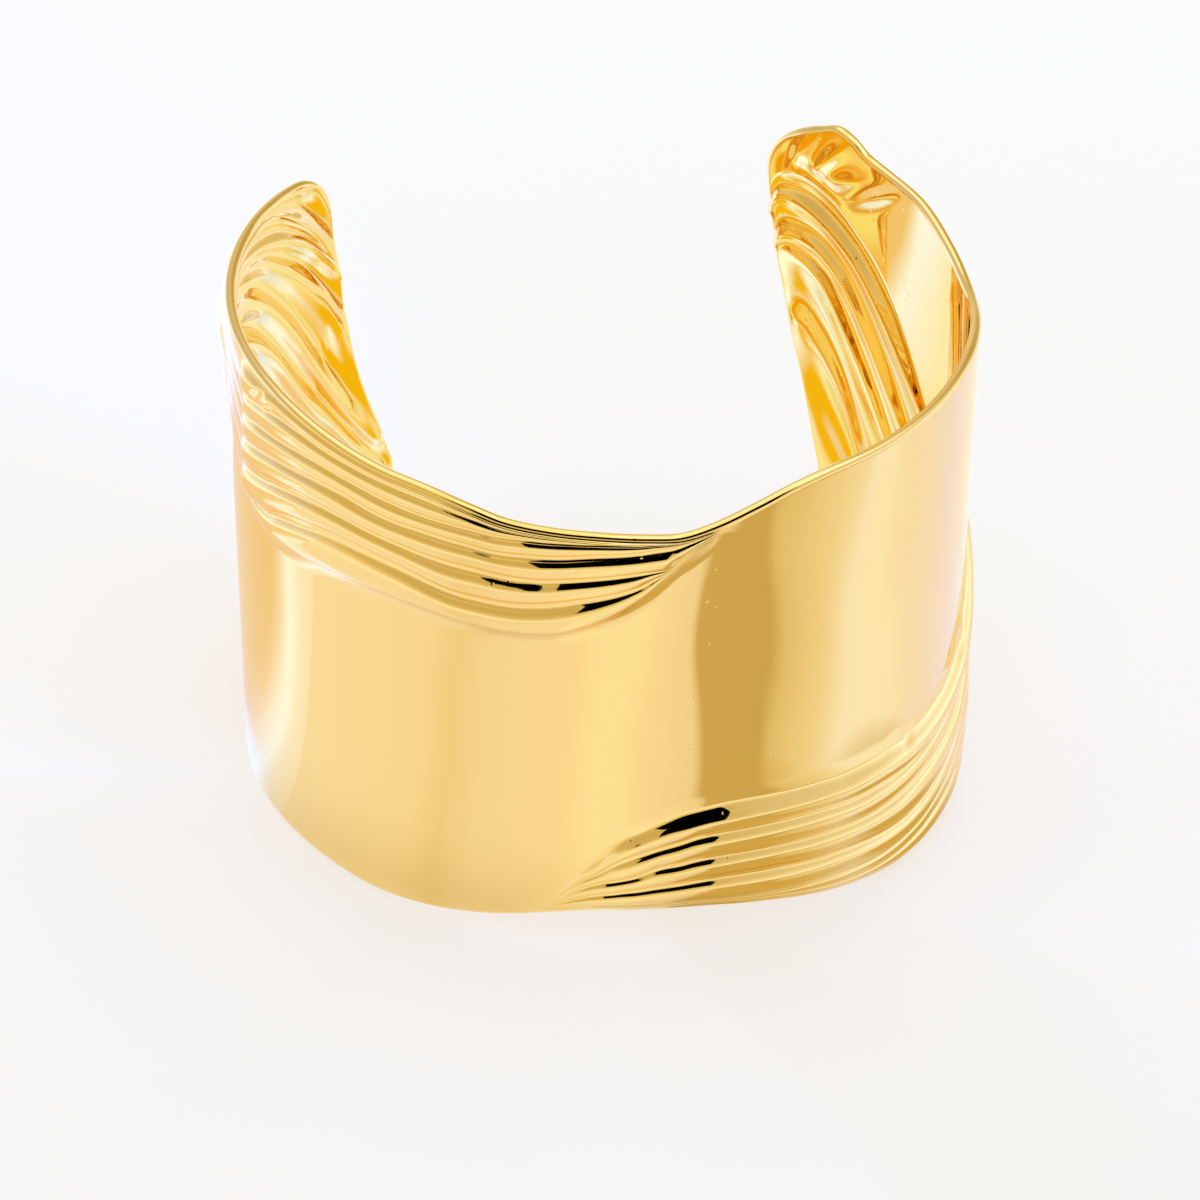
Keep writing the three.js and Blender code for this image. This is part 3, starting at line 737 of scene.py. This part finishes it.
def polished_gold(finish):
    """Mirror-polished yellow gold: slow hand-polish waves and a few fine pits, as bump."""
    material, tree = new_material("polished_gold")
    nodes, links = tree.nodes, tree.links
    output = nodes.new("ShaderNodeOutputMaterial")
    metal = nodes.new("ShaderNodeBsdfPrincipled")
    metal.inputs["Base Color"].default_value = (*finish.gold, 1)
    metal.inputs["Metallic"].default_value = 1
    metal.inputs["Roughness"].default_value = finish.roughness
    place = nodes.new("ShaderNodeTexCoord")

    waves = nodes.new("ShaderNodeTexNoise")
    waves.inputs["Scale"].default_value = WAVE_SCALE
    waves.inputs["Detail"].default_value = 1
    wave_bump = nodes.new("ShaderNodeBump")
    wave_bump.inputs["Strength"].default_value = finish.waviness
    wave_bump.inputs["Distance"].default_value = WAVE_HEIGHT

    pits = nodes.new("ShaderNodeTexVoronoi")
    pits.inputs["Scale"].default_value = PIT_SCALE
    pit_size = nodes.new("ShaderNodeMapRange")
    pit_size.inputs["From Min"].default_value = PIT_BOTTOM
    pit_size.inputs["From Max"].default_value = PIT_RIM
    pit_bump = nodes.new("ShaderNodeBump")
    pit_bump.inputs["Strength"].default_value = finish.pits
    pit_bump.inputs["Distance"].default_value = PIT_DEPTH

    links.new(place.outputs["Object"], waves.inputs["Vector"])
    links.new(place.outputs["Object"], pits.inputs["Vector"])
    links.new(waves.outputs["Fac"], wave_bump.inputs["Height"])
    links.new(pits.outputs["Distance"], pit_size.inputs["Value"])
    links.new(pit_size.outputs["Result"], pit_bump.inputs["Height"])
    links.new(wave_bump.outputs["Normal"], pit_bump.inputs["Normal"])
    links.new(pit_bump.outputs["Normal"], metal.inputs["Normal"])
    links.new(metal.outputs["BSDF"], output.inputs["Surface"])
    return material


def emission_material(name, colour=(1, 1, 1), strength=1.0):
    """A surface that only shines, and its glow node."""
    material, tree = new_material(name)
    output = tree.nodes.new("ShaderNodeOutputMaterial")
    glow = tree.nodes.new("ShaderNodeEmission")
    glow.inputs["Color"].default_value = (*colour, 1)
    glow.inputs["Strength"].default_value = strength
    tree.links.new(glow.outputs["Emission"], output.inputs["Surface"])
    return material, tree, glow


def fill_ramp(ramp, stops):
    """Sets a colour ramp's stops from (place, red, green, blue) rows."""
    elements = ramp.color_ramp.elements
    while len(elements) > 1:
        elements.remove(elements[-1])
    elements[0].position = stops[0][0]
    elements[0].color = (*stops[0][1:], 1)
    for place, *colour in stops[1:]:
        elements.new(place).color = (*colour, 1)


def studio_floor_finish(settings):
    """Frosted acrylic, lit a little from below, with a faint gloss."""
    material, tree = new_material("frosted_acrylic")
    output = tree.nodes.new("ShaderNodeOutputMaterial")
    acrylic = tree.nodes.new("ShaderNodeBsdfPrincipled")
    acrylic.inputs["Base Color"].default_value = (*settings.floor, 1)
    acrylic.inputs["Roughness"].default_value = FLOOR_ROUGHNESS
    acrylic.inputs["Specular IOR Level"].default_value = FLOOR_GLOSS
    acrylic.inputs["Emission Color"].default_value = (1, 1, 1, 1)
    acrylic.inputs["Emission Strength"].default_value = settings.floor_glow
    tree.links.new(acrylic.outputs["BSDF"], output.inputs["Surface"])
    return material


def glow_by_azimuth(tree, rows, brightest, centre=0.0, twist=0.0, wobble=0.0):
    """The colour socket of bands that fan out round an upright axis."""
    nodes, links = tree.nodes, tree.links
    place = nodes.new("ShaderNodeTexCoord")
    centred = nodes.new("ShaderNodeVectorMath")
    centred.operation = "SUBTRACT"
    centred.inputs[1].default_value = (0, centre, 0)
    around = nodes.new("ShaderNodeTexGradient")
    around.gradient_type = "RADIAL"
    outwards = nodes.new("ShaderNodeVectorMath")
    outwards.operation = "LENGTH"
    twisted = nodes.new("ShaderNodeMath")
    twisted.operation = "MULTIPLY_ADD"
    twisted.inputs[1].default_value = -twist
    noise = nodes.new("ShaderNodeTexNoise")
    noise.inputs["Scale"].default_value = TABLE_WOBBLE_SCALE
    noise.inputs["Detail"].default_value = 0
    wavy = nodes.new("ShaderNodeMath")
    wavy.operation = "MULTIPLY_ADD"
    wavy.inputs[1].default_value = wobble
    middle = nodes.new("ShaderNodeMath")
    middle.operation = "SUBTRACT"
    middle.inputs[1].default_value = wobble / 2 - twist * TWIST_RADIUS
    bands = nodes.new("ShaderNodeValToRGB")
    fill_ramp(bands, sorted(
        ((azimuth / 360 + 0.25) % 1, *(level / brightest for level in colour))
        for azimuth, *colour in rows))
    links.new(place.outputs["Object"], centred.inputs[0])
    links.new(centred.outputs["Vector"], around.inputs["Vector"])
    links.new(centred.outputs["Vector"], outwards.inputs[0])
    links.new(outwards.outputs["Value"], twisted.inputs[0])
    links.new(around.outputs["Fac"], twisted.inputs[2])
    links.new(place.outputs["Object"], noise.inputs["Vector"])
    links.new(noise.outputs["Fac"], wavy.inputs[0])
    links.new(twisted.outputs["Value"], wavy.inputs[2])
    links.new(wavy.outputs["Value"], middle.inputs[0])
    links.new(middle.outputs["Value"], bands.inputs["Fac"])
    return bands.outputs["Color"]


def multiplied(tree, first, rows, gain, factor):
    """A colour times a ramp of (place, red, green, blue) rows, looked up by a factor."""
    ramp = tree.nodes.new("ShaderNodeValToRGB")
    fill_ramp(ramp, [(place, *(level / gain for level in colour)) for place, *colour in rows])
    mix = tree.nodes.new("ShaderNodeMix")
    mix.data_type = "RGBA"
    mix.blend_type = "MULTIPLY"
    mix.inputs["Factor"].default_value = 1
    tree.links.new(factor, ramp.inputs["Fac"])
    tree.links.new(first, mix.inputs["A"])
    tree.links.new(ramp.outputs["Color"], mix.inputs["B"])
    return mix.outputs["Result"]


def table_glow_finish():
    """The lit table top as the metal mirrors it, with the cuff's shadows painted on: bands that fan out
    from under the cuff.
    """
    material, tree, glow = emission_material("table_glow")
    bands = glow_by_azimuth(tree, TABLE_BANDS, TABLE_TOP, TABLE_FAN_CENTRE, TABLE_TWIST, TABLE_WOBBLE)
    place = tree.nodes.new("ShaderNodeTexCoord")
    radius = tree.nodes.new("ShaderNodeVectorMath")
    radius.operation = "LENGTH"
    tree.links.new(place.outputs["Object"], radius.inputs[0])
    colour = multiplied(tree, bands, TABLE_RINGS, RING_GAIN, radius.outputs["Value"])
    tree.links.new(colour, glow.inputs["Color"])
    glow.inputs["Strength"].default_value = TABLE_TOP * RING_GAIN
    return material


def painted_floor_light_finish(name, colour, inner, outer):
    """A patch of painted light and shade on the floor, fading to nothing between two radii."""
    material, tree, glow = emission_material(name, colour)
    nodes, links = tree.nodes, tree.links
    output = next(node for node in nodes if node.type == "OUTPUT_MATERIAL")
    place = nodes.new("ShaderNodeTexCoord")
    size = nodes.new("ShaderNodeVectorMath")
    size.operation = "LENGTH"
    fade = nodes.new("ShaderNodeMapRange")
    fade.inputs["From Min"].default_value = inner
    fade.inputs["From Max"].default_value = outer
    clear = nodes.new("ShaderNodeBsdfTransparent")
    mix = nodes.new("ShaderNodeMixShader")
    links.new(place.outputs["Object"], size.inputs[0])
    links.new(size.outputs["Value"], fade.inputs["Value"])
    links.new(fade.outputs["Result"], mix.inputs["Fac"])
    links.new(glow.outputs["Emission"], mix.inputs[1])
    links.new(clear.outputs["BSDF"], mix.inputs[2])
    links.new(mix.outputs["Shader"], output.inputs["Surface"])
    return material


def tent_glow_finish():
    """The studio tent as the metal mirrors it: banded walls, brighter low down and at the roof."""
    material, tree, glow = emission_material("tent_glow")
    walls = glow_by_azimuth(tree, TENT_BANDS, TENT_TOP)
    place = tree.nodes.new("ShaderNodeTexCoord")
    parts = tree.nodes.new("ShaderNodeSeparateXYZ")
    tree.links.new(place.outputs["Object"], parts.inputs["Vector"])
    colour = multiplied(tree, walls, TENT_HEIGHTS, TENT_GAIN, parts.outputs["Z"])
    tree.links.new(colour, glow.inputs["Color"])
    glow.inputs["Strength"].default_value = TENT_TOP * TENT_GAIN
    return material


# ---- the stage ----------------------------------------------------------------------------------


def direction(azimuth, elevation):
    """From the cuff outwards, round from its front to the right and up from the floor."""
    return Vector((
        math.sin(azimuth) * math.cos(elevation),
        -math.cos(azimuth) * math.cos(elevation),
        math.sin(elevation),
    ))


def add_stage_piece(name, bm, material):
    piece = add_piece(name, bm, material)
    return piece


def seen_only_in_gloss(piece):
    """Keeps a piece out of sight and off the floor, so that only the metal mirrors it."""
    piece.visible_camera = False
    piece.visible_diffuse = False
    piece.visible_shadow = False
    piece.visible_transmission = False
    piece.visible_volume_scatter = False


def add_floor(settings):
    bm = bmesh.new()
    bmesh.ops.create_grid(bm, x_segments=1, y_segments=1, size=FLOOR_REACH)
    floor = add_stage_piece("studio_floor", bm, studio_floor_finish(settings))
    floor.visible_glossy = False


def add_table_glow():
    bm = bmesh.new()
    bmesh.ops.create_circle(bm, cap_ends=True, segments=TABLE_SIDES, radius=TABLE_RADIUS)
    seen_only_in_gloss(add_stage_piece("table_glow", bm, table_glow_finish()))


def add_painted_floor_light(level, name, centre, inner, outer, colour):
    """A disc of painted light and shade that lies at its own level just above the table top."""
    bm = bmesh.new()
    bmesh.ops.create_circle(bm, cap_ends=True, segments=PATCH_SIDES, radius=outer)
    patch = add_stage_piece(name, bm, painted_floor_light_finish(name, colour, inner, outer))
    patch.location = (*centre, level)
    seen_only_in_gloss(patch)


def add_tent():
    bm = bmesh.new()
    bmesh.ops.create_uvsphere(bm, u_segments=TENT_SIDES, v_segments=TENT_TIERS, radius=TENT_RADIUS)
    seen_only_in_gloss(add_stage_piece("studio_tent", bm, tent_glow_finish()))


def add_dark_opening(settings):
    """The gap in the tent that the camera looks through, as a dark card facing the cuff."""
    back = direction(math.radians(OPENING_AZIMUTH), settings.elevation)
    bm = bmesh.new()
    bmesh.ops.create_grid(bm, x_segments=1, y_segments=1, size=1 / 2)
    bmesh.ops.scale(bm, vec=(OPENING_WIDTH, OPENING_HEIGHT, 1), verts=bm.verts)
    bmesh.ops.rotate(bm, matrix=back.to_track_quat("Z", "Y").to_matrix(), verts=bm.verts)
    bmesh.ops.translate(bm, vec=back * OPENING_DISTANCE, verts=bm.verts)
    material, _, _ = emission_material("dark_cloth", (0, 0, 0), 0)
    seen_only_in_gloss(add_stage_piece("dark_opening", bm, material))


def add_camera(settings):
    data = bpy.data.cameras.new("camera")
    data.lens = settings.lens
    data.sensor_width = FILM_WIDTH
    camera = bpy.data.objects.new("camera", data)
    back = direction(settings.azimuth, settings.elevation)
    place = Vector(settings.target) + back * settings.distance
    level = back.to_track_quat("Z", "Y").to_matrix().to_4x4()
    camera.matrix_world = Matrix.Translation(place) @ level @ Matrix.Rotation(settings.roll, 4, "Z")
    bpy.context.scene.collection.objects.link(camera)
    bpy.context.scene.camera = camera


def add_softbox(name, size, place, power):
    """A square softbox that hangs at a place and faces the middle of the floor."""
    data = bpy.data.lights.new(name, "AREA")
    data.shape = "SQUARE"
    data.size = size
    data.energy = power
    light = bpy.data.objects.new(name, data)
    facing = Vector(place).to_track_quat("Z", "Y").to_matrix().to_4x4()
    light.matrix_world = Matrix.Translation(place) @ facing
    light.visible_glossy = False
    bpy.context.scene.collection.objects.link(light)


# ---- operators ----------------------------------------------------------------------------------


class PLEATED_CUFF_OT_band(bpy.types.Operator):
    """Add the cuff: one curled gold sheet with its pleats"""

    bl_idname = "pleated_cuff.band"
    bl_label = "Add Cuff Band"

    def execute(self, context):
        bm = cuff_sheet(context.scene.cuff_sizes)
        stand_in_box(bm, BAND_LOW, BAND_HIGH)
        piece = add_piece("gold_cuff", bm, polished_gold(context.scene.cuff_finish))
        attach(piece, "root")
        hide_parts("cuff_band")
        return {"FINISHED"}


class PLEATED_CUFF_OT_studio(bpy.types.Operator):
    """Set up the floor, the light, the reflector cards and the camera"""

    bl_idname = "pleated_cuff.studio"
    bl_label = "Set Up Studio"

    def execute(self, context):
        settings = context.scene.studio_settings
        scene = context.scene
        scene.view_settings.view_transform = "Standard"
        world = bpy.data.worlds.new("studio_tent")
        world.use_nodes = True
        world.node_tree.nodes["Background"].inputs["Color"].default_value = (1, 1, 1, 1)
        world.node_tree.nodes["Background"].inputs["Strength"].default_value = settings.sky
        scene.world = world
        add_camera(settings)
        add_floor(settings)
        add_table_glow()
        for order, patch in enumerate(PAINTED_FLOOR_LIGHTS, 1):
            add_painted_floor_light(order * PATCH_STEP, *patch)
        add_tent()
        add_dark_opening(settings)
        add_softbox("overhead_softbox", SOFTBOX_SIZE, SOFTBOX_PLACE, settings.softbox_power)
        return {"FINISHED"}


class PLEATED_CUFF_PT_panel(bpy.types.Panel):
    """Sizes, finish and studio of the pleated cuff"""

    bl_label = "Pleated Cuff"
    bl_idname = "PLEATED_CUFF_PT_panel"
    bl_space_type = "VIEW_3D"
    bl_region_type = "UI"
    bl_category = "Pleated Cuff"

    def draw(self, context):
        layout = self.layout
        for group in (context.scene.cuff_sizes, context.scene.cuff_finish, context.scene.studio_settings):
            box = layout.box()
            for name in group.__annotations__:
                box.prop(group, name)
        for operator in (PLEATED_CUFF_OT_band, PLEATED_CUFF_OT_studio):
            layout.operator(operator.bl_idname)


CLASSES = (
    CuffSizes,
    CuffFinish,
    StudioSettings,
    PLEATED_CUFF_OT_band,
    PLEATED_CUFF_OT_studio,
    PLEATED_CUFF_PT_panel,
)


def register():
    for cls in CLASSES:
        bpy.utils.register_class(cls)
    bpy.types.Scene.cuff_sizes = bpy.props.PointerProperty(type=CuffSizes)
    bpy.types.Scene.cuff_finish = bpy.props.PointerProperty(type=CuffFinish)
    bpy.types.Scene.studio_settings = bpy.props.PointerProperty(type=StudioSettings)


def unregister():
    del bpy.types.Scene.studio_settings
    del bpy.types.Scene.cuff_finish
    del bpy.types.Scene.cuff_sizes
    for cls in reversed(CLASSES):
        bpy.utils.unregister_class(cls)


def main():
    register()
    bpy.ops.pleated_cuff.band()
    bpy.ops.pleated_cuff.studio()


if __name__ == "__main__":
    main()
